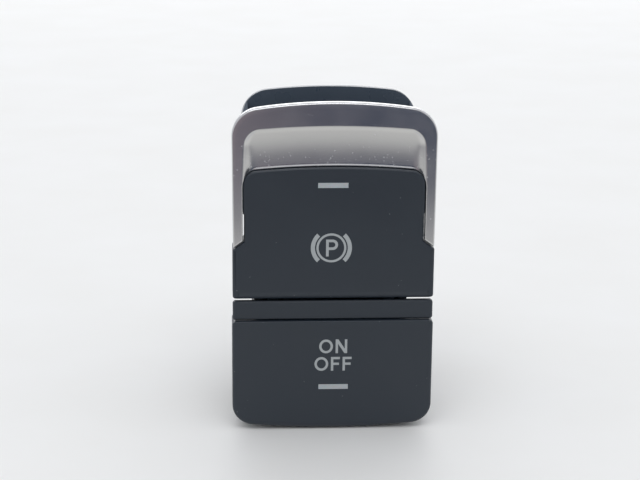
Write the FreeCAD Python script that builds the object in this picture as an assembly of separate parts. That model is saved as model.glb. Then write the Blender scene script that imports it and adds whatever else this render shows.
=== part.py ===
import FreeCAD, Part
import math
import os

os.makedirs("parts", exist_ok=True)

V = FreeCAD.Vector

# Millimetres. X runs across the faces, Y from the faces to the plug, Z up as the switch stands on its end.
# Sizes below count Y from the flat face plane. Everything is shifted at the end so that the origin lies
# under the middle of the whole part.

# Faces: half widths, measured from the middle plane
FACE_HALF = 18.65
SKIN = 1.3
EDGE_ROUND = 0.75

# Lower button face
HOLD_HALF = FACE_HALF
HOLD_LOW = 0.3
HOLD_HEIGHT = 21.0
HOLD_HIGH = HOLD_LOW + HOLD_HEIGHT
HOLD_CURVE = 168.0
HOLD_CORNER_LOW = 4.0
HOLD_CORNER_HIGH = 0.8
HOLD_DEPTH = 5.5
HOLD_TRAVEL = 1.2

# Bar between the faces
BAR_UNDER = 0.12
BAR_HALF = FACE_HALF - BAR_UNDER
BAR_GAP_LOW = 0.25
BAR_HEIGHT = 3.58
BAR_LOW = HOLD_HIGH + BAR_GAP_LOW
BAR_HIGH = BAR_LOW + BAR_HEIGHT
BAR_FRONT = 0.6
BAR_THICK = 1.1
BAR_CORNER = 0.5
BAR_RIB = 1.5
BAR_EDGE = 0.25

# Lever face
LEVER_GAP = 0.38
LEVER_UNDER = 0.12
LEVER_LOW = BAR_HIGH + LEVER_GAP
LEVER_HALF_LOW = FACE_HALF - LEVER_UNDER
FOOT_HEIGHT = 9.59
SHOULDER_DROP = 1.55
SLIT = 0.27
SLIT_LENGTH = 5.1
HEAD_HEIGHT = 8.73
SHOULDER_LOW = LEVER_LOW + FOOT_HEIGHT
SHOULDER_HIGH = SHOULDER_LOW + SHOULDER_DROP
SLIT_HIGH = SHOULDER_HIGH + SLIT_LENGTH
LEVER_HIGH = SLIT_HIGH + HEAD_HEIGHT
LEVER_CURVE = 157.0
LEVER_CORNER_HIGH = 2.7
LEVER_CORNER_LOW = 0.8
LEVER_DEPTH = 5.0

# Trim
TRIM_PROUD = 0.25
TRIM_UNDER = 0.22
TRIM_FLARE = 0.26
TRIM_ARM = 1.78
TRIM_HALF_LOW = FACE_HALF - TRIM_UNDER
TRIM_HALF_HIGH = TRIM_HALF_LOW + TRIM_FLARE
TRIM_INSIDE = TRIM_HALF_LOW - TRIM_ARM
TRIM_BILL = 11.86
TRIM_HIGH = LEVER_HIGH + TRIM_BILL
TRIM_CURVE = 98.0
TRIM_CORNER = 5.25
TRIM_DEPTH = 3.0
TRIM_EDGE_DEPTH = 2.0
TRIM_STEP = 1.2
TRIM_END_GAP = 0.44
TRIM_EDGE_ROUND = 0.35
POCKET_GAP = 0.22
LEVER_HALF_SLIT = TRIM_INSIDE - SLIT
LEVER_HALF_HIGH = TRIM_INSIDE - 0.05
RIM_HEIGHT = 4.14
DISH_SIDE = 0.23
DISH_HALF = TRIM_INSIDE - DISH_SIDE
DISH_HIGH = TRIM_HIGH - RIM_HEIGHT
DISH_CURVE = 165.0
DISH_CORNER = 3.5
DISH_DEEP = 0.95
DISH_FOOT = 1.2

# Hinge of the lever
HINGE_Y = 3.2
HINGE_RISE = 7.99
HINGE_Z = LEVER_LOW + HINGE_RISE
PIN_R = 0.8
RUNNING = 0.05
SIDE_GAP = 0.35
FORK_THICK = 1.7
FORK_R = 1.55
FORK_ROOM = 1.88
FORK_IN = LEVER_HALF_LOW - SKIN - FORK_ROOM - FORK_THICK
EAR_THICK = 2.1
EAR_OUT = FORK_IN - SIDE_GAP
EAR_IN = EAR_OUT - EAR_THICK
EAR_R = 1.9

# Lever carrier
CARRIER_PLATE = 1.3
CARRIER_BACK = SKIN + CARRIER_PLATE
BRIDGE_THICK = 1.4
BRIDGE_BACK = CARRIER_BACK + BRIDGE_THICK
BRIDGE_HALF = LEVER_HALF_SLIT - SKIN - 0.28
GRIP_THICK = 2.6
GRIP_WALL = 1.6
GRIP_BACK = TRIM_DEPTH + GRIP_THICK

# Housing
WALL = 1.4
FORK_SEAT = 0.75
BODY_HALF = FORK_IN + FORK_SEAT
BODY_GAP = 0.7
BODY_FRONT = HOLD_DEPTH + HOLD_TRAVEL + BODY_GAP
BODY_LOW = 1.2
BODY_CORNER = 1.0
INNER_HALF = BODY_HALF - WALL
INNER_LOW = BODY_LOW + WALL
RIB_INSET = 3.4
RIB_X = BODY_HALF - RIB_INSET
RIB_W = 1.5
INSERT_PLAY = 0.1
LEDGE = 1.0
LEDGE_THICK = 1.2

# Plungers and domes
ARM = 7.5
APPLY_Z = HINGE_Z - ARM
RELEASE_Z = HINGE_Z + ARM
PLUNGER_INSET = 5.5
PLUNGER_X = INNER_HALF - PLUNGER_INSET
FINGER_HALF = 0.9
FINGER_R = 0.9
FINGER_REACH = 3.45
FINGER_TIP = HINGE_Y + FINGER_REACH
FREE_PLAY = 0.3
HEAD_R = 2.2
HEAD_THICK = 1.05
HEAD_FRONT = FINGER_TIP + FREE_PLAY
HEAD_ROOM = 1.0
GUIDE_FRONT = HEAD_FRONT + HEAD_THICK + HEAD_ROOM
GUIDE_THICK = 1.6
GUIDE_BACK = GUIDE_FRONT + GUIDE_THICK
STEM_R = 1.5
STEM_REACH = 9.3
STEM_END = GUIDE_BACK + STEM_REACH
SLEEVE_HALF = 2.5
SLEEVE_LENGTH = 5.4
SLEEVE_END = GUIDE_BACK + SLEEVE_LENGTH
DOME_FOOT_R = 2.55
DOME_TOP_R = 1.7
DOME_HEIGHT = 1.9
DOME_SIDES = 12
DOME_TOP = STEM_END + FREE_PLAY
INNER_TOP = RELEASE_Z + 2.6
BODY_TOP = INNER_TOP + WALL

# Lower button slider
HOLD_LEG_INSET = 4.6
HOLD_LEG_X = INNER_HALF - HOLD_LEG_INSET
HOLD_LEG_RISE = 11.2
HOLD_LEG_Z = HOLD_LOW + HOLD_LEG_RISE
HOLD_LEG_W = 3.2
HOLD_LEG_H = 4.0
LEG_PLAY = 0.12
LEG_WALL = 1.0
SLIDER_PLATE = 1.4
SLIDER_EDGE = 1.7
TUBE_ROOM = 0.5
TUBE_SIDE = 0.1
TUBE_HALF = HOLD_LEG_X - HOLD_LEG_W / 2 - LEG_WALL - TUBE_ROOM - TUBE_SIDE
TUBE_RISE = 6.5
TUBE_DROP = 2.1
TUBE_LOW = HOLD_LOW + TUBE_RISE
TUBE_HIGH = HOLD_HIGH - TUBE_DROP
TUBE_WALL = 0.8
TUBE_END = 8.6
GUIDE_PLAY = 0.05

# Snap legs of the bar
BAR_LEG_W = 1.8
BAR_LEG_H = 1.8
BAR_LEG_OUT = INNER_HALF - LEDGE - 0.2
BAR_LEG_IN = BAR_LEG_OUT - BAR_LEG_W
BAR_LEG_LOW = BAR_LOW + 0.65
BAR_LEG_HIGH = BAR_LEG_LOW + BAR_LEG_H
BAR_HOOK = 0.9

# Clear guides of the lever
PARK_SIDE = 1.4
PARK_BRIM = 0.6
PARK_STEM_HALF = PLUNGER_X - SLEEVE_HALF - PARK_SIDE
PARK_HALF = PARK_STEM_HALF + PARK_BRIM
PARK_LOW = HINGE_Z + 1.5
PARK_STEM_H = 3.2
PARK_STEM_LOW = PARK_LOW + 0.4
PARK_STEM_HIGH = PARK_STEM_LOW + PARK_STEM_H
PARK_DROP = 2.6
PARK_HIGH = LEVER_HIGH - PARK_DROP
PARK_STEM_END = 8.2
PARK_FLANGE = 0.8

# Circuit board, mat and cover
MAT_FRONT = DOME_TOP + DOME_HEIGHT
MAT_THICK = 0.5
MAT_EDGE = 1.4
MAT_HALF = INNER_HALF - MAT_EDGE
BOARD_FRONT = MAT_FRONT + MAT_THICK
BOARD_THICK = 1.6
BOARD_BACK = BOARD_FRONT + BOARD_THICK
BOARD_PLAY = 0.2
BOARD_HALF = INNER_HALF - BOARD_PLAY
BOARD_LOW = INNER_LOW + 0.4
BOARD_STOP = 1.1
BACK_ROOM = 6.8
BODY_REAR = BOARD_BACK + BACK_ROOM
COVER_THICK = 1.5
LAMP_W = 3.0
LAMP_H = 2.0
LAMP_T = 1.2
CHIP_SIDE = 7.0
CHIP_T = 1.1
CHIP_RISE = 10.0
CAPACITOR_W = 3.2
CAPACITOR_H = 2.6
CAPACITOR_T = 1.4
CAPACITOR_GAP = 1.9
RESISTOR_W = 1.6
RESISTOR_H = 0.9
RESISTOR_T = 0.5
RESISTOR_PITCH = 3.2
RESISTOR_GAP = 3.6

# Finger scoop
LIP_UNDER = 2.05
LIP_HALF = FACE_HALF - LIP_UNDER
LIP_DROP = 0.44
LIP_HIGH = TRIM_HIGH - LIP_DROP
LIP_CURVE = 106.0
LIP_CORNER = 5.5
LIP_BACK = 20.2
SCOOP_WALL = 1.2
SCOOP_R = 10.0
SCOOP_FRONT = 8.8
CHEEK_LOW = 9.4
CHEEK_HIGH = 3.0
TOWER_DROP = 4.9
TOWER_TOP = LIP_HIGH - TOWER_DROP
BOARD_DROP = 7.0
BOARD_HIGH = TOWER_TOP - BOARD_DROP
GUSSET_INSET = 8.3
GUSSET_X = LIP_HALF - GUSSET_INSET

# Plug socket
PLUG_HALF_X = 12.0
PLUG_Z = 20.0
PLUG_HALF_Z = 6.0
PLUG_WALL = 1.4
PLUG_BASE = 2.6
PLUG_FLOOR = BODY_REAR + PLUG_BASE
PLUG_REACH = 13.0
PLUG_END = BODY_REAR + PLUG_REACH
CONTACT = 0.64
CONTACT_PITCH = 2.54
CONTACT_ROWS = 2
CONTACT_COLUMNS = 5
CONTACT_SET_BACK = 4.5
CONTACT_END = PLUG_END - CONTACT_SET_BACK
CONTACT_PLAY = 0.03

# Latches of the cover and snap arms of the housing
LATCH_HALF = 2.6
LATCH_PLAY = 0.2
LATCH_SET = 4.4
LATCH_LENGTH = 2.0
LATCH_Y0 = BODY_REAR - LATCH_SET
LATCH_Y1 = LATCH_Y0 + LATCH_LENGTH
LATCH_Z = (INNER_LOW + 7.9, TOWER_TOP - 6.5)
SNAP_GAP = 0.9
SNAP_THICK = 1.1
SNAP_HOOK = 1.2
SNAP_IN = BODY_HALF + SNAP_GAP
SNAP_OUT = SNAP_IN + SNAP_THICK
SNAP_LOW = (INNER_LOW + 1.0, INNER_LOW + 5.4, 18.0)
SNAP_HIGH = (BODY_TOP - 0.6, BODY_TOP + 2.6, 9.4)

# Windows in the faces: x, z, width, height
PARK_BAR = (-0.25, LEVER_HIGH - 3.23, 5.5, 0.95)
HOLD_BAR = (0.15, HOLD_LOW + 8.22, 5.5, 0.95)
WINDOW_PROUD = 0.03

DEPTH_SHIFT = -(PLUG_END - TRIM_PROUD) / 2


def box(x0, x1, y0, y1, z0, z1):
    return Part.makeBox(x1 - x0, y1 - y0, z1 - z0, V(x0, y0, z0))


def both(shape):
    return shape.fuse(shape.mirror(V(0, 0, 0), V(1, 0, 0)))


def rod_y(x, z, r, y0, y1):
    return Part.makeCylinder(r, y1 - y0, V(x, y0, z), V(0, 1, 0))


def rod_x(y, z, r, x0, x1):
    return Part.makeCylinder(r, x1 - x0, V(x0, y, z), V(1, 0, 0))


def slab(points, y0, y1):
    corners = [V(x, y0, z) for x, z in points]
    face = Part.Face(Part.makePolygon(corners + corners[:1]))
    return face.extrude(V(0, y1 - y0, 0))


def bar_x(points, x0, x1):
    corners = [V(x0, y, z) for y, z in points]
    face = Part.Face(Part.makePolygon(corners + corners[:1]))
    return face.extrude(V(x1 - x0, 0, 0))


def curved_edge(half, z_mid, radius, y, up):
    # Edge from (-half) to (+half) whose middle is at z_mid and whose ends fall back by the arc's height.
    if radius is None:
        return Part.makeLine(V(-half, y, z_mid), V(half, y, z_mid)), z_mid
    fall = radius - (radius ** 2 - half ** 2) ** 0.5
    z_end = z_mid - fall if up else z_mid + fall
    arc = Part.Arc(V(-half, y, z_end), V(0, y, z_mid), V(half, y, z_end))
    return arc.toShape(), z_end


def plate(half_low, half_high, z0, z1, y0, y1, curve_low=None, curve_high=None, r_low=0, r_high=0, inset=0):
    # Flat plate facing -Y with straight sides, level or curved ends, and rounded corners.
    hl = half_low - inset
    hh = half_high - inset
    low, zl = curved_edge(hl, z0 + inset, curve_low, y0, False)
    high, zh = curved_edge(hh, z1 - inset, curve_high, y0, True)
    right = Part.makeLine(V(hl, y0, zl), V(hh, y0, zh))
    left = Part.makeLine(V(-hl, y0, zl), V(-hh, y0, zh))
    wire = Part.Wire(Part.__sortEdges__([low, right, high, left]))
    shape = Part.Face(wire).extrude(V(0, y1 - y0, 0))
    for radius, z, half in ((r_low - inset, zl, hl), (r_high - inset, zh, hh)):
        if radius > 0.05:
            shape = shape.makeFillet(radius, upright_edges(shape, half, z))
    return shape


def upright_edges(shape, half, z):
    found = []
    for edge in shape.Edges:
        b = edge.BoundBox
        thin = b.XLength < 1e-4 and b.ZLength < 1e-4
        if thin and abs(abs(b.XMin) - half) < 1e-3 and abs(b.ZMin - z) < 1e-3:
            found.append(edge)
    return found


def front_edges(shape, y, keep=None):
    found = []
    for edge in shape.Edges:
        b = edge.BoundBox
        if b.YLength < 1e-4 and abs(b.YMin - y) < 1e-4:
            middle = edge.valueAt((edge.FirstParameter + edge.LastParameter) / 2)
            if keep is None or keep(middle, b):
                found.append(edge)
    return found


def save(name, shape):
    solid = shape.removeSplitter()
    solids = solid.Solids
    if len(solids) != 1 or not solid.isValid():
        print("CHECK", name, "solids", len(solids), "valid", solid.isValid())
    if len(solids) == 1:
        solid = solids[0]
    solid.translate(V(0, DEPTH_SHIFT, 0))
    solid.exportStep("parts/" + name + ".step")


def save_pair(stem, shape):
    # One piece on the +X side and its mirror image on the -X side.
    save(stem + "_right", shape)
    save(stem + "_left", shape.mirror(V(0, 0, 0), V(1, 0, 0)))


def window(spec, y0, y1, play=0.0):
    x, z, w, h = spec
    return box(x - w / 2 - play, x + w / 2 + play, y0, y1, z - h / 2 - play, z + h / 2 + play)


def lower_outline(y0, y1, inset=0):
    return plate(HOLD_HALF, HOLD_HALF, HOLD_LOW, HOLD_HIGH, y0, y1, HOLD_CURVE, None,
                 HOLD_CORNER_LOW, HOLD_CORNER_HIGH, inset)


def trim_outline(y0, y1, inset=0):
    return plate(TRIM_HALF_LOW, TRIM_HALF_HIGH, SHOULDER_LOW - 1.5, TRIM_HIGH, y0, y1, None, TRIM_CURVE,
                 0, TRIM_CORNER, inset)


def lever_low_part(y0, y1, inset=0):
    # Wide foot of the lever face with sloping shoulders, up to the end of the side slits.
    wide = LEVER_HALF_LOW - inset
    narrow = LEVER_HALF_SLIT - inset
    top = SLIT_HIGH + 0.6
    points = [(-wide, LEVER_LOW + inset), (wide, LEVER_LOW + inset), (wide, SHOULDER_LOW - inset * 0.4)]
    points += [(narrow, SHOULDER_HIGH - inset * 0.4), (narrow, top), (-narrow, top)]
    points += [(-narrow, SHOULDER_HIGH - inset * 0.4), (-wide, SHOULDER_LOW - inset * 0.4)]
    shape = slab(points, y0, y1)
    corner = LEVER_CORNER_LOW - inset
    if corner > 0.05:
        shape = shape.makeFillet(corner, upright_edges(shape, wide, LEVER_LOW + inset))
    return shape


def lever_high_part(y0, y1, inset=0):
    return plate(LEVER_HALF_HIGH, LEVER_HALF_HIGH, SLIT_HIGH - inset, LEVER_HIGH, y0, y1, None, LEVER_CURVE,
                 0, LEVER_CORNER_HIGH, inset)


# Lower button cap: rounded face, hollow behind, with the slot of its light bar
hold_cap = lower_outline(0, HOLD_DEPTH)
hold_cap = hold_cap.makeFillet(EDGE_ROUND, front_edges(hold_cap, 0))
hold_cap = hold_cap.cut(lower_outline(SKIN, HOLD_DEPTH + 1, SKIN))
hold_cap = hold_cap.cut(window(HOLD_BAR, -1, SKIN + 1))
save("hold_cap", hold_cap)
save("hold_bar_window", window(HOLD_BAR, -WINDOW_PROUD, SKIN))

# Button slider: base plate in the cap, light tube and two guide legs
slider_back = SKIN + SLIDER_PLATE
slider_half = HOLD_HALF - SKIN - SLIDER_EDGE
slider = box(-slider_half, slider_half, SKIN, slider_back, HOLD_LOW + SKIN + 1.8, HOLD_HIGH - SKIN - 0.3)
slider = slider.fuse(box(-TUBE_HALF, TUBE_HALF, slider_back, TUBE_END, TUBE_LOW, TUBE_HIGH))
leg = box(HOLD_LEG_X - HOLD_LEG_W / 2, HOLD_LEG_X + HOLD_LEG_W / 2, slider_back, STEM_END,
          HOLD_LEG_Z - HOLD_LEG_H / 2, HOLD_LEG_Z + HOLD_LEG_H / 2)
slider = slider.fuse(both(leg))
light_half = TUBE_HALF - TUBE_WALL
light_low = TUBE_LOW + TUBE_WALL
light_high = TUBE_HIGH - TUBE_WALL
slider = slider.cut(box(-light_half, light_half, 0, TUBE_END + 1, light_low, light_high))
web_reach = GUIDE_FRONT - HOLD_TRAVEL - 0.8
foot_web = box(HOLD_LEG_X - 0.6, HOLD_LEG_X + 0.6, slider_back, web_reach, HOLD_LEG_Z - 6.5, HOLD_LEG_Z + 6.5)
slider = slider.fuse(both(foot_web))
save("hold_slider", slider)

# Clear block of the button
block = box(-light_half + GUIDE_PLAY, light_half - GUIDE_PLAY, SKIN, STEM_END - 1.9,
            light_low + GUIDE_PLAY, light_high - GUIDE_PLAY)
save("hold_light_guide", block)

# Bar between the faces, with a stiffening rib and two snap legs
bar_back = BAR_FRONT + BAR_THICK
bar = plate(BAR_HALF, BAR_HALF, BAR_LOW, BAR_HIGH, BAR_FRONT, bar_back, None, None, BAR_CORNER, BAR_CORNER)
bar = bar.makeChamfer(BAR_EDGE, front_edges(bar, BAR_FRONT))
bar = bar.fuse(box(-INNER_HALF, INNER_HALF, bar_back - 0.2, bar_back + BAR_RIB, BAR_LOW + 0.5, BAR_HIGH - 0.9))
hook_end = GUIDE_BACK + BAR_HOOK
snap_leg = box(BAR_LEG_IN, BAR_LEG_OUT, bar_back, hook_end, BAR_LEG_LOW, BAR_LEG_HIGH)
hook = bar_x([(GUIDE_BACK, BAR_LEG_HIGH - 0.1), (GUIDE_BACK, BAR_LEG_HIGH + 0.5), (hook_end, BAR_LEG_HIGH - 0.1)],
             BAR_LEG_IN, BAR_LEG_OUT)
bar = bar.fuse(both(snap_leg.fuse(hook)))
save("centre_bar", bar)

# Lever cap: foot, shoulders and arched top in one flush face
low_part = lever_low_part(0, LEVER_DEPTH)
low_part = low_part.makeFillet(EDGE_ROUND, front_edges(low_part, 0, lambda m, b: m.z < SHOULDER_HIGH - 0.1))
high_part = lever_high_part(0, LEVER_DEPTH)
high_part = high_part.makeFillet(EDGE_ROUND * 0.6, front_edges(high_part, 0, lambda m, b: m.z > SLIT_HIGH + 1))
lever_cap = low_part.fuse(high_part)
hollow = lever_low_part(SKIN, LEVER_DEPTH + 1, SKIN).fuse(lever_high_part(SKIN, LEVER_DEPTH + 1, SKIN))
lever_cap = lever_cap.cut(hollow)
open_half = BRIDGE_HALF + 0.1
for z0, z1 in ((LEVER_HIGH - SKIN - 1.0, LEVER_HIGH + 1), (LEVER_LOW - 1, LEVER_LOW + SKIN + 0.5)):
    lever_cap = lever_cap.cut(box(-open_half, open_half, CARRIER_BACK, LEVER_DEPTH + 1, z0, z1))
lever_cap = lever_cap.cut(window(PARK_BAR, -1, SKIN + 1))
save("lever_cap", lever_cap)
save("park_bar_window", window(PARK_BAR, -WINDOW_PROUD, SKIN))

# Trim: rim, concave dish and two arms, cut around the lever face
front = -TRIM_PROUD
trim_foot = SHOULDER_LOW - 1.5
trim = trim_outline(front, TRIM_DEPTH)
trim = trim.makeFillet(TRIM_EDGE_ROUND, front_edges(trim, front, lambda m, b: m.z > trim_foot + 0.5))
behind = box(-FACE_HALF - 2, FACE_HALF + 2, TRIM_EDGE_DEPTH, TRIM_DEPTH + 1, LEVER_HIGH - 0.7, TRIM_HIGH + 5)
behind = behind.cut(trim_outline(TRIM_EDGE_DEPTH - 1, TRIM_DEPTH + 2, TRIM_STEP))
trim = trim.cut(behind)
pocket = plate(TRIM_INSIDE, TRIM_INSIDE, trim_foot - 9, LEVER_HIGH + POCKET_GAP, front - 1, TRIM_DEPTH + 1, None,
               LEVER_CURVE, 0, LEVER_CORNER_HIGH + POCKET_GAP)
end_low = SHOULDER_LOW + TRIM_END_GAP
end_high = SHOULDER_HIGH + TRIM_END_GAP
far = FACE_HALF + 2
end_far = end_low - (far - LEVER_HALF_LOW) * SHOULDER_DROP / (LEVER_HALF_LOW - LEVER_HALF_SLIT)
shoulder_cut = slab([(-far, trim_foot - 9), (far, trim_foot - 9), (far, end_far), (LEVER_HALF_SLIT, end_high),
                     (-LEVER_HALF_SLIT, end_high), (-far, end_far)], front - 1, TRIM_DEPTH + 1)
dish_outline = plate(DISH_HALF, DISH_HALF, LEVER_HIGH - 1.7, DISH_HIGH, front - 1, TRIM_DEPTH + 1, None,
                     DISH_CURVE, 0, DISH_CORNER)
dish_top = DISH_HIGH + 0.1
dish_base = LEVER_HIGH + 0.1
dish_arc = Part.Arc(V(-far, front, dish_top), V(-far, DISH_DEEP, (dish_top + dish_base) / 2),
                    V(-far, DISH_FOOT, dish_base))
dish_path = [V(-far, DISH_FOOT, dish_base), V(-far, DISH_FOOT, dish_base - 3), V(-far, front - 1, dish_base - 3),
             V(-far, front - 1, dish_top), V(-far, front, dish_top)]
profile = [dish_arc.toShape()] + [Part.makeLine(a, b) for a, b in zip(dish_path, dish_path[1:])]
dish_space = Part.Face(Part.Wire(profile)).extrude(V(2 * far, 0, 0))
trim = trim.cut(dish_outline.common(dish_space)).cut(pocket).cut(shoulder_cut)
save("lever_trim", trim)

# Lever carrier: plate in the cap, bridge, grip behind the rim, ears and plunger fingers
nose_y = FINGER_TIP - FINGER_R
plate_foot = LEVER_LOW + SKIN + 0.3
plate_head = LEVER_HIGH - SKIN - 0.75
carrier = box(-EAR_OUT, EAR_OUT, SKIN, CARRIER_BACK, plate_foot, plate_head)
bridge_foot = HINGE_Z + 4.1
carrier = carrier.fuse(box(-BRIDGE_HALF, BRIDGE_HALF, CARRIER_BACK, BRIDGE_BACK, bridge_foot, LEVER_HIGH - 0.9))
carrier = carrier.fuse(box(-BRIDGE_HALF, BRIDGE_HALF, TRIM_DEPTH, BRIDGE_BACK, LEVER_HIGH - 1.2, LEVER_HIGH + 2.0))
grip_foot = LEVER_HIGH + POCKET_GAP
cut_foot = box(-far, far, 0, LIP_BACK, trim_foot - 9, grip_foot)
grip = trim_outline(TRIM_DEPTH, GRIP_BACK, TRIM_STEP).cut(cut_foot)
grip = grip.makeChamfer(0.8, front_edges(grip, GRIP_BACK, lambda m, b: m.z > grip_foot + 1))
inside = trim_outline(TRIM_DEPTH + SKIN, GRIP_BACK + 1, TRIM_STEP + GRIP_WALL)
grip = grip.cut(inside.cut(box(-far, far, 0, LIP_BACK, trim_foot - 9, grip_foot + SKIN)))
carrier = carrier.fuse(grip)
ear = box(EAR_IN, EAR_OUT, SKIN, HINGE_Y, HINGE_Z - EAR_R, HINGE_Z + EAR_R)
ear = ear.fuse(rod_x(HINGE_Y, HINGE_Z, EAR_R, EAR_IN, EAR_OUT))
carrier = carrier.fuse(both(ear))
for z in (APPLY_Z, RELEASE_Z):
    root = z + 2.2 if z < HINGE_Z else z
    outline = [(CARRIER_BACK - 0.3, root), (CARRIER_BACK - 0.3, root + 3.2), (nose_y, z + FINGER_R)]
    outline += [(nose_y, z - FINGER_R), (nose_y - 1.2, z - FINGER_R), (CARRIER_BACK + 0.3, root - 0.7)]
    finger = bar_x(outline, PLUNGER_X - FINGER_HALF, PLUNGER_X + FINGER_HALF)
    finger = finger.fuse(rod_x(nose_y, z, FINGER_R, PLUNGER_X - FINGER_HALF, PLUNGER_X + FINGER_HALF))
    carrier = carrier.fuse(both(finger))
carrier = carrier.cut(rod_x(HINGE_Y, HINGE_Z, PIN_R + RUNNING, -far, far))
carrier = carrier.cut(box(-PARK_HALF - GUIDE_PLAY, PARK_HALF + GUIDE_PLAY, 0, CARRIER_BACK,
                          PARK_LOW - GUIDE_PLAY, PARK_HIGH + GUIDE_PLAY))
carrier = carrier.cut(box(-PARK_STEM_HALF - GUIDE_PLAY, PARK_STEM_HALF + GUIDE_PLAY, 0, BRIDGE_BACK + 1,
                          PARK_LOW - GUIDE_PLAY, PARK_STEM_HIGH + GUIDE_PLAY))
save("lever_carrier", carrier)

# Hinge pins
save_pair("lever_pin", rod_x(HINGE_Y, HINGE_Z, PIN_R, EAR_IN + 0.1, FORK_IN + FORK_THICK - 0.1))

# Clear guide in the lever
lever_guide = box(-PARK_HALF, PARK_HALF, SKIN, CARRIER_BACK - 0.1, PARK_LOW, PARK_HIGH)
lever_guide = lever_guide.fuse(box(-PARK_STEM_HALF, PARK_STEM_HALF, SKIN, PARK_STEM_END, PARK_STEM_LOW,
                                   PARK_STEM_HIGH))
save("lever_light_guide", lever_guide)

# Plungers
for stem_name, z in (("apply_plunger", APPLY_Z), ("release_plunger", RELEASE_Z)):
    plunger = rod_y(PLUNGER_X, z, HEAD_R, HEAD_FRONT, HEAD_FRONT + HEAD_THICK)
    plunger = plunger.fuse(rod_y(PLUNGER_X, z, STEM_R, HEAD_FRONT, STEM_END))
    save_pair(stem_name, plunger)

# Housing: open box with tower, bearing forks, ledges, standing ribs, latch windows and snap arms
housing = plate(BODY_HALF, BODY_HALF, BODY_LOW, BODY_TOP, BODY_FRONT, BODY_REAR, None, None, BODY_CORNER)
tower = plate(BODY_HALF, BODY_HALF, BODY_TOP - 1, TOWER_TOP, LIP_BACK, BODY_REAR, None, None, 0, BODY_CORNER)
housing = housing.fuse(tower)
housing = housing.cut(box(-INNER_HALF, INNER_HALF, 0, BODY_REAR + 1, INNER_LOW, INNER_TOP))
housing = housing.cut(box(-INNER_HALF, INNER_HALF, LIP_BACK + WALL, BODY_REAR + 1, INNER_LOW, TOWER_TOP - WALL))
fork = rod_x(HINGE_Y, HINGE_Z, FORK_R, FORK_IN, FORK_IN + FORK_THICK)
fork = fork.fuse(box(FORK_IN, FORK_IN + FORK_THICK, HINGE_Y, BODY_FRONT + 4.6, HINGE_Z - FORK_R, HINGE_Z + FORK_R))
fork = fork.cut(rod_x(HINGE_Y, HINGE_Z, PIN_R, FORK_IN - 1, FORK_IN + FORK_THICK + 1))
housing = housing.fuse(both(fork))
ledge = box(-INNER_HALF, INNER_HALF, GUIDE_BACK, GUIDE_BACK + LEDGE_THICK, INNER_LOW, INNER_TOP)
ledge = ledge.cut(box(-INNER_HALF + LEDGE, INNER_HALF - LEDGE, 0, BODY_REAR, INNER_LOW + LEDGE, INNER_TOP - LEDGE))
housing = housing.fuse(ledge)
board_stop = box(INNER_HALF - BOARD_STOP, INNER_HALF, BOARD_FRONT - 2.0, BOARD_FRONT, INNER_LOW, INNER_TOP - 1.6)
housing = housing.fuse(both(board_stop))
rib = box(RIB_X - RIB_W / 2, RIB_X + RIB_W / 2, BODY_FRONT + 0.2, BODY_REAR, 0, BODY_LOW + 0.1)
housing = housing.fuse(both(rib))
for z in LATCH_Z:
    housing = housing.cut(both(box(INNER_HALF - 1, BODY_HALF + 1, LATCH_Y0, LATCH_Y1, z - LATCH_HALF,
                                   z + LATCH_HALF)))
snap_rear = BODY_REAR - 0.4
for z0, z1, length in (SNAP_LOW, SNAP_HIGH):
    y0 = snap_rear - length
    arm = box(SNAP_IN, SNAP_OUT, y0, snap_rear, z0, z1)
    arm = arm.fuse(box(BODY_HALF - 0.3, SNAP_IN, snap_rear - 1.6, snap_rear, z0, z1))
    corners = [V(SNAP_OUT - 0.1, y0, z0), V(SNAP_OUT, y0, z0), V(SNAP_OUT + SNAP_HOOK, y0 + 2.4, z0),
               V(SNAP_OUT + SNAP_HOOK, y0 + 3.0, z0), V(SNAP_OUT, y0 + 3.4, z0), V(SNAP_OUT - 0.1, y0 + 3.4, z0)]
    hook = Part.Face(Part.makePolygon(corners + corners[:1])).extrude(V(0, 0, z1 - z0))
    housing = housing.fuse(both(arm.fuse(hook)))
save("housing", housing)

# Finger scoop: swept wall from the floor of the recess up to the arched lip, with side cheeks
scoop_in = LIP_HALF - SCOOP_WALL
arc_z = BODY_TOP + SCOOP_WALL + SCOOP_R
arc_y = LIP_BACK - SCOOP_WALL - SCOOP_R
sky = TRIM_HIGH + 4.0


def scoop_profile(radius, x0, x1, front_y):
    # Space in front of the swept wall, closed towards the lever and open at the top.
    s = 0.5 ** 0.5
    sweep = Part.Arc(V(x0, arc_y, arc_z - radius), V(x0, arc_y + radius * s, arc_z - radius * s),
                     V(x0, arc_y + radius, arc_z)).toShape()
    path = [V(x0, arc_y + radius, arc_z), V(x0, arc_y + radius, sky), V(x0, front_y, sky),
            V(x0, front_y, arc_z - radius), V(x0, arc_y, arc_z - radius)]
    edges = [sweep] + [Part.makeLine(a, b) for a, b in zip(path, path[1:])]
    return Part.Face(Part.Wire(edges)).extrude(V(x1 - x0, 0, 0))


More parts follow.
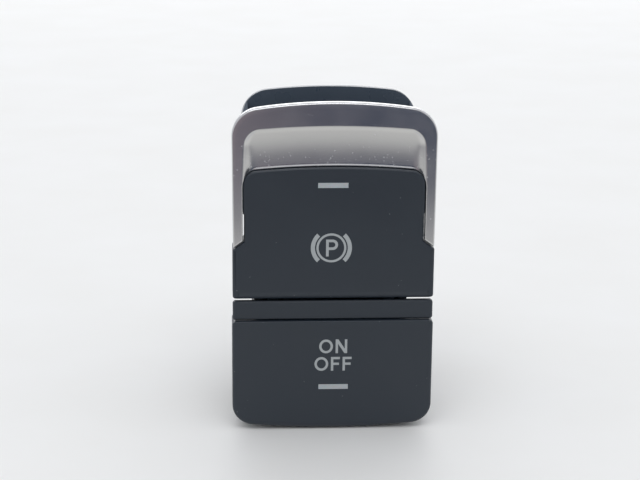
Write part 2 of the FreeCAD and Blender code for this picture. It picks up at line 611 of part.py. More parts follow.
scoop = scoop_profile(SCOOP_R + SCOOP_WALL, -LIP_HALF, LIP_HALF, SCOOP_FRONT)
scoop = scoop.cut(scoop_profile(SCOOP_R, -scoop_in, scoop_in, SCOOP_FRONT - 3))
lip = plate(LIP_HALF, LIP_HALF, BODY_TOP - 5.0, LIP_HIGH, 0, BODY_REAR, None, LIP_CURVE, 0, LIP_CORNER)
scoop = scoop.common(lip)
cheek = LIP_HIGH - CHEEK_LOW
slope = bar_x([(0, cheek - 6.0), (SCOOP_FRONT, cheek), (LIP_BACK - SCOOP_WALL, LIP_HIGH - CHEEK_HIGH),
               (LIP_BACK - SCOOP_WALL, sky + 1), (0, sky + 1)], -far, far)
scoop = scoop.cut(slope)
for x in (-GUSSET_X, 0.0, GUSSET_X):
    gusset = box(x - 0.7, x + 0.7, SCOOP_FRONT + 1, LIP_BACK, BODY_TOP, arc_z)
    gusset = gusset.cut(scoop_profile(SCOOP_R + SCOOP_WALL * 0.5, x - 1, x + 1, 0))
    scoop = scoop.fuse(gusset)
save("finger_scoop", scoop)

# Guide plate with sleeves
plate_half = INNER_HALF - INSERT_PLAY
plate_low = INNER_LOW + INSERT_PLAY
plate_high = INNER_TOP - INSERT_PLAY
sleeve_top = INNER_TOP - LEDGE - INSERT_PLAY
guide = box(-plate_half, plate_half, GUIDE_FRONT, GUIDE_BACK, plate_low, plate_high)
for z in (APPLY_Z, RELEASE_Z):
    sleeve = box(PLUNGER_X - SLEEVE_HALF, PLUNGER_X + SLEEVE_HALF, GUIDE_BACK, SLEEVE_END, z - SLEEVE_HALF,
                 min(z + SLEEVE_HALF, sleeve_top))
    guide = guide.fuse(both(sleeve))
leg_sleeve = box(HOLD_LEG_X - HOLD_LEG_W / 2 - LEG_WALL, HOLD_LEG_X + HOLD_LEG_W / 2 + LEG_WALL, GUIDE_BACK,
                 SLEEVE_END, HOLD_LEG_Z - HOLD_LEG_H / 2 - LEG_WALL, HOLD_LEG_Z + HOLD_LEG_H / 2 + LEG_WALL)
guide = guide.fuse(both(leg_sleeve))
for z in (APPLY_Z, RELEASE_Z):
    guide = guide.cut(both(rod_y(PLUNGER_X, z, STEM_R + RUNNING, 0, BODY_REAR)))
leg_hole = box(HOLD_LEG_X - HOLD_LEG_W / 2 - LEG_PLAY, HOLD_LEG_X + HOLD_LEG_W / 2 + LEG_PLAY, 0, BODY_REAR,
               HOLD_LEG_Z - HOLD_LEG_H / 2 - LEG_PLAY, HOLD_LEG_Z + HOLD_LEG_H / 2 + LEG_PLAY)
guide = guide.cut(both(leg_hole))
guide = guide.cut(box(-TUBE_HALF - TUBE_ROOM, TUBE_HALF + TUBE_ROOM, 0, BODY_REAR, TUBE_LOW - TUBE_ROOM,
                      TUBE_HIGH + TUBE_ROOM))
guide = guide.cut(both(box(BAR_LEG_IN - 0.1, BAR_LEG_OUT + 0.1, 0, BODY_REAR, BAR_LEG_LOW - 0.1,
                           BAR_LEG_HIGH + 0.1)))
guide = guide.cut(box(-PARK_STEM_HALF - GUIDE_PLAY, PARK_STEM_HALF + GUIDE_PLAY, 0, BODY_REAR,
                      PARK_STEM_LOW - GUIDE_PLAY, PARK_STEM_HIGH + GUIDE_PLAY))
save("guide_plate", guide)

# Fixed clear guide behind the lever, held in the guide plate
fixed_guide = box(-PARK_STEM_HALF, PARK_STEM_HALF, GUIDE_FRONT + 0.2, STEM_END + 0.7, PARK_STEM_LOW, PARK_STEM_HIGH)
flange = box(-PARK_STEM_HALF - PARK_FLANGE, PARK_STEM_HALF + PARK_FLANGE, GUIDE_BACK, GUIDE_BACK + 0.9,
             PARK_STEM_LOW - PARK_FLANGE, PARK_STEM_HIGH + PARK_FLANGE)
save("park_light_guide", fixed_guide.fuse(flange))

# Circuit board, dome mat, domes and lamps
def key_dome(x, z):
    # Rubber key dome: a faceted cone standing on the mat, narrow towards the plunger.
    turns = [(i + 0.5) * 2 * math.pi / DOME_SIDES for i in range(DOME_SIDES + 1)]
    top = [V(x + DOME_TOP_R * math.cos(t), DOME_TOP, z + DOME_TOP_R * math.sin(t)) for t in turns]
    foot = [V(x + DOME_FOOT_R * math.cos(t), MAT_FRONT, z + DOME_FOOT_R * math.sin(t)) for t in turns]
    outlines = [top, foot]
    for i in range(DOME_SIDES):
        outlines.append([top[i], top[i + 1], foot[i + 1], foot[i], top[i]])
    shell = Part.makeShell([Part.Face(Part.makePolygon(outline)) for outline in outlines])
    shell.sewShape()
    dome = Part.makeSolid(shell)
    return dome if dome.Volume > 0 else dome.reversed()


contact_x = [(i - (CONTACT_COLUMNS - 1) / 2) * CONTACT_PITCH for i in range(CONTACT_COLUMNS)]
contact_z = [PLUG_Z + (j - (CONTACT_ROWS - 1) / 2) * CONTACT_PITCH for j in range(CONTACT_ROWS)]
hole = CONTACT / 2 + CONTACT_PLAY
board = box(-BOARD_HALF, BOARD_HALF, BOARD_FRONT, BOARD_BACK, BOARD_LOW, BOARD_HIGH)
for x in contact_x:
    for z in contact_z:
        board = board.cut(box(x - hole, x + hole, 0, PLUG_END, z - hole, z + hole))
save("circuit_board", board)

park_middle = (PARK_STEM_LOW + PARK_STEM_HIGH) / 2
lamps = [("lamp_park", park_middle), ("lamp_hold_text", light_high - 3.4), ("lamp_hold_bar", light_low + 2.0)]
mat = box(-MAT_HALF, MAT_HALF, MAT_FRONT, BOARD_FRONT, BOARD_LOW + 2.5, RELEASE_Z + 5.0)
for name, z in lamps:
    mat = mat.cut(box(-LAMP_W / 2 - 0.3, LAMP_W / 2 + 0.3, 0, BODY_REAR, z - LAMP_H / 2 - 0.3, z + LAMP_H / 2 + 0.3))
save("dome_mat", mat)
for name, x, z in (("apply_dome", PLUNGER_X, APPLY_Z), ("release_dome", PLUNGER_X, RELEASE_Z),
                   ("hold_dome", HOLD_LEG_X, HOLD_LEG_Z)):
    save_pair(name, key_dome(x, z))
for name, z in lamps:
    save(name, box(-LAMP_W / 2, LAMP_W / 2, BOARD_FRONT - LAMP_T, BOARD_FRONT, z - LAMP_H / 2, z + LAMP_H / 2))

# Parts on the back of the board
chip_low = PLUG_Z + CHIP_RISE
chip_high = chip_low + CHIP_SIDE
save("controller_chip", box(-CHIP_SIDE / 2, CHIP_SIDE / 2, BOARD_BACK, BOARD_BACK + CHIP_T, chip_low, chip_high))
cap_in = CHIP_SIDE / 2 + CAPACITOR_GAP
cap_z = (chip_low + chip_high - CAPACITOR_H) / 2 + 0.1
save_pair("capacitor", box(cap_in, cap_in + CAPACITOR_W, BOARD_BACK, BOARD_BACK + CAPACITOR_T, cap_z,
                           cap_z + CAPACITOR_H))
resistor_z = chip_high + RESISTOR_GAP
for i in range(4):
    x = (i - 1.5) * RESISTOR_PITCH
    save("resistor_%d" % (i + 1), box(x - RESISTOR_W / 2, x + RESISTOR_W / 2, BOARD_BACK, BOARD_BACK + RESISTOR_T,
                                      resistor_z, resistor_z + RESISTOR_H))

# Connector pins
number = 0
for z in contact_z:
    for x in contact_x:
        number += 1
        half = CONTACT / 2
        pin = box(x - half, x + half, BOARD_FRONT, CONTACT_END, z - half, z + half)
        tip = [e for e in pin.Edges if abs(e.BoundBox.YMin - CONTACT_END) < 1e-4]
        save("contact_pin_%d" % number, pin.makeChamfer(0.15, tip))

# Rear cover with plug shroud, board posts and latch tongues
cover_back = BODY_REAR + COVER_THICK
cover = plate(BODY_HALF, BODY_HALF, BODY_LOW, TOWER_TOP, BODY_REAR, cover_back, None, None, BODY_CORNER, BODY_CORNER)
shroud = plate(PLUG_HALF_X, PLUG_HALF_X, PLUG_Z - PLUG_HALF_Z, PLUG_Z + PLUG_HALF_Z, BODY_REAR, PLUG_END,
               None, None, 1.2, 1.2)
cover = cover.fuse(shroud)
cavity = box(-PLUG_HALF_X + PLUG_WALL, PLUG_HALF_X - PLUG_WALL, PLUG_FLOOR, PLUG_END + 1,
             PLUG_Z - PLUG_HALF_Z + PLUG_WALL, PLUG_Z + PLUG_HALF_Z - PLUG_WALL)
cover = cover.cut(cavity)
key = box(-2.2, 2.2, PLUG_FLOOR + 3.4, PLUG_END + 1, PLUG_Z + PLUG_HALF_Z - PLUG_WALL - 0.1,
          PLUG_Z + PLUG_HALF_Z + 1)
cover = cover.cut(key)
post_x = BOARD_HALF - 3.2
for x in (-post_x, post_x):
    for z in (BOARD_LOW + 3.0, BOARD_HIGH - 4.0):
        cover = cover.fuse(box(x - 1.3, x + 1.3, BOARD_BACK, BODY_REAR + 0.2, z - 1.3, z + 1.3))
tongue_out = INNER_HALF - INSERT_PLAY
nib_out = tongue_out + 0.8
half = LATCH_HALF - LATCH_PLAY
for z in LATCH_Z:
    tongue = box(tongue_out - 1.2, tongue_out, LATCH_Y0 - 0.6, BODY_REAR + 0.2, z - half, z + half)
    corners = [V(tongue_out - 0.1, LATCH_Y0 + 0.2, z - half), V(tongue_out, LATCH_Y0 + 0.2, z - half),
               V(nib_out, LATCH_Y1 - 0.6, z - half), V(nib_out, LATCH_Y1 - 0.15, z - half),
               V(tongue_out - 0.1, LATCH_Y1 - 0.15, z - half)]
    nib = Part.Face(Part.makePolygon(corners + corners[:1])).extrude(V(0, 0, 2 * half))
    cover = cover.fuse(both(tongue.fuse(nib)))
for x in contact_x:
    for z in contact_z:
        cover = cover.cut(box(x - hole, x + hole, BOARD_BACK, PLUG_END + 1, z - hole, z + hole))
save("rear_cover", cover)
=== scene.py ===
import math

import bpy
import bmesh
from mathutils import Matrix, Vector
from mathutils.geometry import tessellate_polygon


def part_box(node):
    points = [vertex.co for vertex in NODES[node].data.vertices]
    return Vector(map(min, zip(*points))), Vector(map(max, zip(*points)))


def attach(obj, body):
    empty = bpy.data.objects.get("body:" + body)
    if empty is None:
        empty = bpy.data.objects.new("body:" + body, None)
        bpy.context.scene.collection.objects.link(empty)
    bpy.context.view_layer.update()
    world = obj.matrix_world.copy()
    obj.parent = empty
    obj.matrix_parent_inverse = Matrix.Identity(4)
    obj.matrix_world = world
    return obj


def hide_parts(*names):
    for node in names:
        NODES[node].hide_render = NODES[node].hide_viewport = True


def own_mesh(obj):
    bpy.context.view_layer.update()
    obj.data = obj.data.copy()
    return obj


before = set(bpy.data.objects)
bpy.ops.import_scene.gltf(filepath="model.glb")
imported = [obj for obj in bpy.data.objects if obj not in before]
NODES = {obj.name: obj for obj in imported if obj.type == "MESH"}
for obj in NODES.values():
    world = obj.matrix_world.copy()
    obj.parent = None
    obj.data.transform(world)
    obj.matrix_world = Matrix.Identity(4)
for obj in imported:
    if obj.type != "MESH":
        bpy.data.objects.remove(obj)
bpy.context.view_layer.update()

# Lengths in this script are millimetres. The flat face plane and the middle plane come from the frame.
MM = 0.001
FACE_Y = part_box("hold_cap")[0].y / MM


def node_box(name):
    low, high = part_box(name)
    return [v / MM for v in low], [v / MM for v in high]


HOLD_BOX = node_box("hold_cap")
LEVER_BOX = node_box("lever_cap")
TRIM_BOX = node_box("lever_trim")
LEVER_LOW, LEVER_HIGH = LEVER_BOX[0][2], LEVER_BOX[1][2]
TRIM_HALF, TRIM_HIGH = TRIM_BOX[1][0], TRIM_BOX[1][2]


def spot(x, depth, z):
    """A point in metres, with its depth counted back from the face plane."""
    return Vector((x * MM, (FACE_Y + depth) * MM, z * MM))


# Colours and shader nodes


def colour(code):
    """Linear RGBA of an sRGB hex value."""
    parts = [int(code[i:i + 2], 16) / 255 for i in (1, 3, 5)]
    return tuple(c / 12.92 if c <= 0.04045 else ((c + 0.055) / 1.055) ** 2.4 for c in parts) + (1.0,)


def add(tree, kind, inputs=None, **settings):
    """One node, with its settings and with values or links for its inputs."""
    made = tree.nodes.new(kind)
    for name, value in settings.items():
        setattr(made, name, value)
    for name, value in (inputs or {}).items():
        if isinstance(value, bpy.types.NodeSocket):
            tree.links.new(value, made.inputs[name])
        else:
            made.inputs[name].default_value = value
    return made


def per_mm(size):
    """Texture scale for a pattern whose cells are this many millimetres across."""
    return 1 / (size * MM)


# Sockets of a colour mix, which share their names with its number sockets
MIX_FIRST, MIX_SECOND, MIX_RESULT = 6, 7, 2


def surface(name, **values):
    """A new material, its tree, its shader and its object coordinates."""
    mat = bpy.data.materials.new(name)
    mat.use_nodes = True
    tree = mat.node_tree
    shader = tree.nodes["Principled BSDF"]
    for socket, value in values.items():
        shader.inputs[socket.replace("_", " ")].default_value = value
    place = tree.nodes.new("ShaderNodeTexCoord").outputs["Object"]
    return mat, tree, shader, place


def paint(tree, shader, factor, first, second):
    """Base colour that goes from the first colour to the second with a factor."""
    tones = add(tree, "ShaderNodeMix", {0: factor, MIX_FIRST: first, MIX_SECOND: second}, data_type="RGBA")
    tree.links.new(tones.outputs[MIX_RESULT], shader.inputs["Base Color"])


# Specks of dust: spacing as a multiple of their size, and radius as a share of the spacing
SPECK_SPACING = 4
SPECK_RADIUS = 0.16


def specks(tree, place, size, share):
    """Mask of sparse round specks: dots of one size in mm, of which only this share is drawn."""
    cells = add(tree, "ShaderNodeTexVoronoi", {"Vector": place, "Scale": per_mm(size * SPECK_SPACING)})
    dot = add(tree, "ShaderNodeMath", {0: cells.outputs["Distance"], 1: SPECK_RADIUS},
              operation="LESS_THAN")
    lottery = add(tree, "ShaderNodeSeparateColor", {"Color": cells.outputs["Color"]})
    drawn = add(tree, "ShaderNodeMath", {0: lottery.outputs["Red"], 1: share}, operation="LESS_THAN")
    both = add(tree, "ShaderNodeMath", {0: dot.outputs[0], 1: drawn.outputs[0]}, operation="MULTIPLY")
    return both.outputs[0]


def grain(tree, shader, place, size, depth, detail=3.0):
    """Moulded or blasted grain as a bump of this cell size and depth in mm."""
    noise = add(tree, "ShaderNodeTexNoise", {"Vector": place, "Scale": per_mm(size), "Detail": detail})
    bump = add(tree, "ShaderNodeBump", {"Height": noise.outputs["Fac"], "Distance": depth * MM})
    tree.links.new(bump.outputs["Normal"], shader.inputs["Normal"])


def vary_roughness(tree, shader, place, size, low, high):
    """Roughness that wanders between two values in patches of this size in mm."""
    patches = add(tree, "ShaderNodeTexNoise", {"Vector": place, "Scale": per_mm(size), "Detail": 4.0})
    spread = add(tree, "ShaderNodeMapRange", {"Value": patches.outputs["Fac"], "From Min": 0.3,
                                              "From Max": 0.7, "To Min": low, "To Max": high})
    tree.links.new(spread.outputs["Result"], shader.inputs["Roughness"])
    return patches.outputs["Fac"]


# Materials


def moulded_abs_black():
    # Spark-eroded black ABS: a dull, very even face that only brightens along its edges, with a little dust.
    mat, tree, shader, place = surface("moulded_abs_black", IOR=1.54)
    patches = vary_roughness(tree, shader, place, 9.0, 0.40, 0.50)
    grain(tree, shader, place, 0.35, 0.004)
    body = add(tree, "ShaderNodeMix", {0: patches, MIX_FIRST: colour("#1E2731"),
                                       MIX_SECOND: colour("#222B35")}, data_type="RGBA")
    dust = specks(tree, place, 0.12, 0.012)
    paint(tree, shader, dust, body.outputs[MIX_RESULT], colour("#6E7274"))
    return mat


def dish_foot_dust(tree, place):
    """Mask of dust specks, dense in a band along the foot of the finger dish and rare elsewhere."""
    height = add(tree, "ShaderNodeSeparateXYZ", {"Vector": place}).outputs["Z"]
    above = add(tree, "ShaderNodeMath", {0: height, 1: (LEVER_HIGH + 0.8) * MM}, operation="SUBTRACT")
    away = add(tree, "ShaderNodeMath", {0: above.outputs[0]}, operation="ABSOLUTE")
    share = add(tree, "ShaderNodeMapRange", {"Value": away.outputs[0], "From Min": 3.6 * MM, "From Max": 0.0,
                                             "To Min": 0.015, "To Max": 0.6}).outputs["Result"]
    grains, clumps = specks(tree, place, 0.13, share), specks(tree, place, 0.20, share)
    both = add(tree, "ShaderNodeMath", {0: grains, 1: clumps}, operation="MAXIMUM")
    return add(tree, "ShaderNodeMath", {0: both.outputs[0], 1: 0.42}, operation="MULTIPLY").outputs[0]


def satin_plated_chrome():
    # Satin chrome plated on ABS: bright metal with a fine haze, and dust gathered at the foot of the dish.
    mat, tree, shader, place = surface("satin_plated_chrome", Metallic=1.0)
    patches = vary_roughness(tree, shader, place, 6.0, 0.18, 0.24)
    grain(tree, shader, place, 0.3, 0.002)
    plate = add(tree, "ShaderNodeMix", {0: patches, MIX_FIRST: colour("#C4C4C6"),
                                        MIX_SECOND: colour("#CFCFD0")}, data_type="RGBA")
    dusty = dish_foot_dust(tree, place)
    paint(tree, shader, dusty, plate.outputs[MIX_RESULT], colour("#DCDEE0"))
    dull = add(tree, "ShaderNodeMath", {0: 1.0, 1: dusty}, operation="SUBTRACT")
    tree.links.new(dull.outputs[0], shader.inputs["Metallic"])
    return mat


def glass_filled_nylon():
    # Black nylon with short glass fibre: duller than the faces, with faint grey flow clouds.
    mat, tree, shader, place = surface("glass_filled_nylon", IOR=1.53)
    patches = vary_roughness(tree, shader, place, 5.0, 0.48, 0.62)
    grain(tree, shader, place, 0.25, 0.006, 5.0)
    paint(tree, shader, patches, colour("#1E2023"), colour("#2A2C2F"))
    return mat


def pbt_with_painted_reflection():
    # Black PBT from a polished mould, whose base colour is lifted to a bluish slate: a painted reflection of
    # the light above.
    mat, tree, shader, place = surface("pbt_with_painted_reflection", IOR=1.55)
    patches = vary_roughness(tree, shader, place, 7.0, 0.24, 0.34)
    grain(tree, shader, place, 0.5, 0.002)
    # Painted reflection: slate colours in place of black, for the light mirrored by the scoop.
    paint(tree, shader, patches, colour("#444E5A"), colour("#4A5460"))
    return mat


def natural_acetal():
    # Natural acetal: waxy off-white, a little light sinks in.
    mat, tree, shader, place = surface("natural_acetal", IOR=1.48, Subsurface_Weight=0.15)
    shader.inputs["Subsurface Scale"].default_value = 1.0 * MM
    patches = vary_roughness(tree, shader, place, 3.0, 0.32, 0.42)
    paint(tree, shader, patches, colour("#DEDBD0"), colour("#E8E5DB"))
    return mat


def ground_steel():
    # Ground hinge pin steel: bright, with fine rings around the pin from the grinding wheel.
    mat, tree, shader, place = surface("ground_steel", Metallic=1.0, Roughness=0.25)
    rings = add(tree, "ShaderNodeTexWave", {"Vector": place, "Scale": per_mm(0.8), "Distortion": 1.5},
                bands_direction="X")
    bump = add(tree, "ShaderNodeBump", {"Height": rings.outputs["Fac"], "Strength": 0.4,
                                        "Distance": 0.003 * MM})
    tree.links.new(bump.outputs["Normal"], shader.inputs["Normal"])
    paint(tree, shader, rings.outputs["Fac"], colour("#B4B5B6"), colour("#C6C7C8"))
    return mat


def diffusing_polycarbonate():
    # Milky polycarbonate of the light bars: grey when unlit, with a soft smooth face.
    mat, tree, shader, place = surface("diffusing_polycarbonate", IOR=1.58, Subsurface_Weight=0.2)
    shader.inputs["Subsurface Scale"].default_value = 0.6 * MM
    patches = vary_roughness(tree, shader, place, 2.0, 0.34, 0.44)
    paint(tree, shader, patches, colour("#A2A7AB"), colour("#ACB1B4"))
    return mat


def clear_acrylic():
    # Clear acrylic light guides: glass-clear with a polished edge.
    mat, tree, shader, place = surface("clear_acrylic", IOR=1.49, Transmission_Weight=0.9)
    patches = vary_roughness(tree, shader, place, 2.0, 0.04, 0.10)
    paint(tree, shader, patches, colour("#EEF2F4"), colour("#F8FAFA"))
    return mat


def turned_to_xz(tree, place):
    """Coordinates with height in the place of depth, for flat patterns on upright faces."""
    parts = add(tree, "ShaderNodeSeparateXYZ", {"Vector": place})
    made = add(tree, "ShaderNodeCombineXYZ", {"X": parts.outputs["X"], "Y": parts.outputs["Z"],
                                              "Z": parts.outputs["Y"]})
    return made.outputs["Vector"]


def green_solder_mask():
    # Green solder mask over copper: glossy lacquer with tracks that show through as paler lines.
    mat, tree, shader, place = surface("green_solder_mask", IOR=1.5, Coat_Weight=0.4)
    patches = vary_roughness(tree, shader, place, 4.0, 0.28, 0.36)
    tracks = add(tree, "ShaderNodeTexBrick", {"Vector": turned_to_xz(tree, place), "Scale": per_mm(8.0),
                                              "Mortar Size": 0.02, "Color1": colour("#17452F"),
                                              "Color2": colour("#1A4C34"), "Mortar": colour("#2F7350")})
    paint(tree, shader, patches, tracks.outputs["Color"], colour("#194A32"))
    return mat


def keypad_silicone():
    # Grey keypad silicone: dull and slightly see-through, so edges glow.
    mat, tree, shader, place = surface("keypad_silicone", IOR=1.43, Subsurface_Weight=0.3)
    shader.inputs["Subsurface Scale"].default_value = 0.8 * MM
    patches = vary_roughness(tree, shader, place, 2.0, 0.55, 0.68)
    paint(tree, shader, patches, colour("#8E9296"), colour("#989CA0"))
    return mat


def phosphor_resin():
    # Yellowish phosphor resin of the small lamps: soft gloss.
    mat, tree, shader, place = surface("phosphor_resin", IOR=1.5, Subsurface_Weight=0.2)
    shader.inputs["Subsurface Scale"].default_value = 0.4 * MM
    patches = vary_roughness(tree, shader, place, 1.0, 0.20, 0.30)
    paint(tree, shader, patches, colour("#E4DCA8"), colour("#ECE6BE"))
    return mat


def chip_epoxy():
    # Black moulding epoxy of the controller: matt and faintly grainy.
    mat, tree, shader, place = surface("chip_epoxy", IOR=1.55)
    patches = vary_roughness(tree, shader, place, 1.5, 0.50, 0.60)
    grain(tree, shader, place, 0.15, 0.003)
    paint(tree, shader, patches, colour("#1B1B1C"), colour("#242425"))
    return mat


def fired_ceramic():
    # Brown fired ceramic of the small board parts, with slight firing clouds.
    mat, tree, shader, place = surface("fired_ceramic", IOR=1.6)
    patches = vary_roughness(tree, shader, place, 0.8, 0.42, 0.52)
    paint(tree, shader, patches, colour("#8A6B4A"), colour("#9A7B58"))
    return mat


def tin_plate():
    # Bright tin on brass contacts: soft silver with smeared patches from plating.
    mat, tree, shader, place = surface("tin_plate", Metallic=1.0)
    patches = vary_roughness(tree, shader, place, 0.9, 0.22, 0.36)
    paint(tree, shader, patches, colour("#C9C6BE"), colour("#D6D4CE"))
    return mat


def etched_legend():
    # Laser-etched legend: the grey light layer shows where the black paint is burnt away, slightly rough.
    mat, tree, shader, place = surface("etched_legend", IOR=1.5)
    patches = vary_roughness(tree, shader, place, 0.6, 0.50, 0.60)
    grain(tree, shader, place, 0.12, 0.003)
    paint(tree, shader, patches, colour("#9BA0A2"), colour("#A5AAAC"))
    return mat


MATERIALS = {made.name: made for made in (
    moulded_abs_black(), satin_plated_chrome(), glass_filled_nylon(), pbt_with_painted_reflection(),
    natural_acetal(), ground_steel(), diffusing_polycarbonate(), clear_acrylic(), green_solder_mask(),
    keypad_silicone(), phosphor_resin(), chip_epoxy(), fired_ceramic(), tin_plate(), etched_legend())}

# Which nodes of the frame get which finish, by the start of their names
FINISHES = (
    ("moulded_abs_black", ("lever_cap", "hold_cap", "centre_bar")),
    ("satin_plated_chrome", ("lever_trim",)),
    ("glass_filled_nylon", ("housing", "rear_cover", "guide_plate", "hold_slider", "lever_carrier")),
    ("pbt_with_painted_reflection", ("finger_scoop",)),
    ("natural_acetal", ("apply_plunger", "release_plunger")),
    ("ground_steel", ("lever_pin",)),
    ("diffusing_polycarbonate", ("park_bar_window", "hold_bar_window")),
    ("clear_acrylic", ("lever_light_guide", "hold_light_guide", "park_light_guide")),
    ("green_solder_mask", ("circuit_board",)),
    ("keypad_silicone", ("dome_mat", "apply_dome", "release_dome", "hold_dome")),
    ("phosphor_resin", ("lamp_",)),
    ("chip_epoxy", ("controller_chip",)),
    ("fired_ceramic", ("capacitor", "resistor")),
    ("tin_plate", ("contact_pin",)),
)


def dress(obj, material):
    obj.data.materials.clear()
    obj.data.materials.append(MATERIALS[material])


def dress_nodes():
    for material, starts in FINISHES:
        for name, obj in NODES.items():
            if name.startswith(starts):
                dress(obj, material)
                soften = obj.modifiers.new("corner_shading", "WEIGHTED_NORMAL")
                soften.keep_sharp = True


dress_nodes()


# Pieces


def piece(name, bm, body, material, sharp=35.0):
    """A mesh object from a bmesh in metres, smooth apart from its sharp edges, riding on a body."""
    bmesh.ops.recalc_face_normals(bm, faces=bm.faces)
    mesh = bpy.data.meshes.new(name)
    bm.to_mesh(mesh)
    bm.free()
    mesh.polygons.foreach_set("use_smooth", [True] * len(mesh.polygons))
    mesh.set_sharp_from_angle(angle=math.radians(sharp))
    obj = bpy.data.objects.new(name, mesh)
    bpy.context.scene.collection.objects.link(obj)
    dress(obj, material)
    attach(obj, body)
    return obj


def arc(cx, cz, radius, start, end, count):
    """Points of an arc between two angles in degrees, ends included."""
    turns = [math.radians(start + (end - start) * i / (count - 1)) for i in range(count)]
    return [(cx + radius * math.cos(t), cz + radius * math.sin(t)) for t in turns]


def arch(half_low, half_high, low, high, radius, corner, counts):
    """Right half of an arched outline, from its foot to the middle of the arch, as three runs of points."""
    centre = high - radius
    end = centre + math.sqrt(radius ** 2 - half_high ** 2)
    corner_z = end - corner
    for _ in range(20):
        corner_x = half_low + (half_high - half_low) * (corner_z - low) / (end - low) - corner
        corner_z = centre + math.sqrt((radius - corner) ** 2 - corner_x ** 2)
    turn = math.degrees(math.atan2(corner_z - centre, corner_x))
    side = [(half_low + (corner_x + corner - half_low) * i / (counts[0] - 1),
             low + (corner_z - low) * i / (counts[0] - 1)) for i in range(counts[0])]
    bend = arc(corner_x, corner_z, corner, 0, turn, counts[1])
    top = arc(0, centre, radius, turn, 90, counts[2])
    return side, bend, top


def chain(*runs):
    """One list of points from runs that share their end points."""
    points = list(runs[0])
    for run in runs[1:]:
        points += run[1:]
    return points


def loft(bm, rings, closed=True):
    """Quads between rings of equal length, given as lists of points in metres."""
    made = [[bm.verts.new(p) for p in ring] for ring in rings]
    for a, b in zip(made, made[1:]):
        span = len(a) if closed else len(a) - 1
        for i in range(span):
            j = (i + 1) % len(a)
            bm.faces.new((a[i], a[j], b[j], b[i]))
    return made


# Trim: sizes that the frame's boxes don't give. First its rim and the outer side, which leans in a little.
RIM_FRONT = TRIM_BOX[0][1] - FACE_Y
RIM_EDGE = 0.35
RIM_ARC = 98.0
RIM_CORNER = 5.25
RIM_LEAN = 0.26
RIM_TAIL = 2.0

# Its arms beside the lever's face, and the step around its back
ARM_INSIDE = 16.65
ARM_EDGE = 0.25
ARM_END_EDGE = 0.25
FLANGE_BACK = 2.0
FLANGE_STEP = 1.2
FLANGE_SHOULDER = 0.05
TRIM_BACK = 3.0
ARM_BACK = TRIM_BACK - 0.1
ARM_HIGH = LEVER_HIGH - 0.8

# Its pocket, just around the lever's face
POCKET_HIGH = LEVER_HIGH + 0.1
POCKET_ARC = 157.2
POCKET_CORNER = 2.92
TOP_EDGE = 0.12

# The lever's shoulders, on whose slope the arms end, and the slits above them
SHOULDER_X = 18.53
SHOULDER_LOW = LEVER_LOW + 9.59
SHOULDER_HIGH = SHOULDER_LOW + 1.55
SHOULDER_Z = SHOULDER_LOW + 0.44
SLIT_X = 16.38
SHOULDER_RISE = (SHOULDER_HIGH - SHOULDER_LOW) / (SHOULDER_X - SLIT_X)
SLIT_HIGH = SHOULDER_HIGH + 5.1

# Finger dish: it starts steeply under its upper edge and levels out towards its foot, at the lever's face
DISH_TOP = TRIM_HIGH - 4.14
DISH_HALF = 16.5
DISH_ARC = 165.0
DISH_CORNER = 3.5
DISH_SLOPE = 0.5
DISH_POWER = 2.7
DISH_TURN = 0.03
DISH_LIP = 0.3
DISH_FLANK = 0.92
DISH_RUN_OUT = 6.5
DISH_BLEND = 6

# The front is faintly convex from foot to top, its highest line a little above the shoulders
BULGE_Z = 38.0
BULGE_RADIUS = 300.0

# Fine bead at the foot of the dish, just above the lever's face, which catches a line of light
BEAD_WIDTH = 0.3
BEAD_RISE = 0.14

# Sections along each half of the trim: the arm, the bend, and the arch up to its middle
ARM_STATIONS = 26
BEND_STATIONS = 44
TOP_STATIONS = 40
LINE_COUNTS = (40, 40, 60)


def smooth_step(share):
    """0 to 1 with level ends, for a share that is kept between 0 and 1."""
    share = max(0.0, min(1.0, share))
    return share * share * (3 - 2 * share)


def dish_depth(down, wall):
    """Depth of the finger dish this far below its upper edge and this far from its rim."""
    if down <= 0 or wall <= 0:
        return 0.0
    length = DISH_TOP - POCKET_HIGH
    share = (math.hypot(min(down, length), DISH_LIP) - DISH_LIP) / length
    fall = DISH_SLOPE / DISH_POWER * (1 - (1 - share) ** DISH_POWER) - DISH_TURN * share * share / 2
    along = length * fall * (1 - smooth_step((down - length) / DISH_RUN_OUT))
    across = DISH_FLANK * (math.hypot(wall, DISH_LIP) - DISH_LIP)
    if along < 1e-4 or across < 1e-4:
        return 0.0
    return (along ** -DISH_BLEND + across ** -DISH_BLEND) ** (-1 / DISH_BLEND)


def bulge(depth, z):
    """How far the convex front lies back at this height. It fades out towards the back."""
    return (z - BULGE_Z) ** 2 / (2 * BULGE_RADIUS) * max(0.0, 1 - max(depth, 0.0) / FLANGE_BACK)


def bead(distance, k):
    """Height of the bead this far from the pocket. It grows out of the upper end of each bend."""
    grown = (k - ARM_STATIONS - 0.55 * BEND_STATIONS) / (0.4 * BEND_STATIONS)
    across = smooth_step((BEAD_WIDTH + TOP_EDGE - distance) / BEAD_WIDTH)
    return BEAD_RISE * across * max(0.0, min(1.0, grown))


def edge_fall(distance, radius):
    """How far a rounded edge falls back at this distance from the edge."""
    if distance >= radius:
        return 0.0
    return radius - math.sqrt(max(radius ** 2 - (radius - distance) ** 2, 0.0))


def resample(points, count):
    """The same line with evenly spaced points."""
    lengths = [0.0]
    for a, b in zip(points, points[1:]):
        lengths.append(lengths[-1] + math.dist(a, b))
    made = []
    k = 0
    for i in range(count):
        want = lengths[-1] * i / (count - 1)
        while k < len(points) - 2 and lengths[k + 1] < want:
            k += 1
        share = (want - lengths[k]) / max(lengths[k + 1] - lengths[k], 1e-9)
        made.append(tuple(p + (q - p) * share for p, q in zip(points[k], points[k + 1])))
    return made


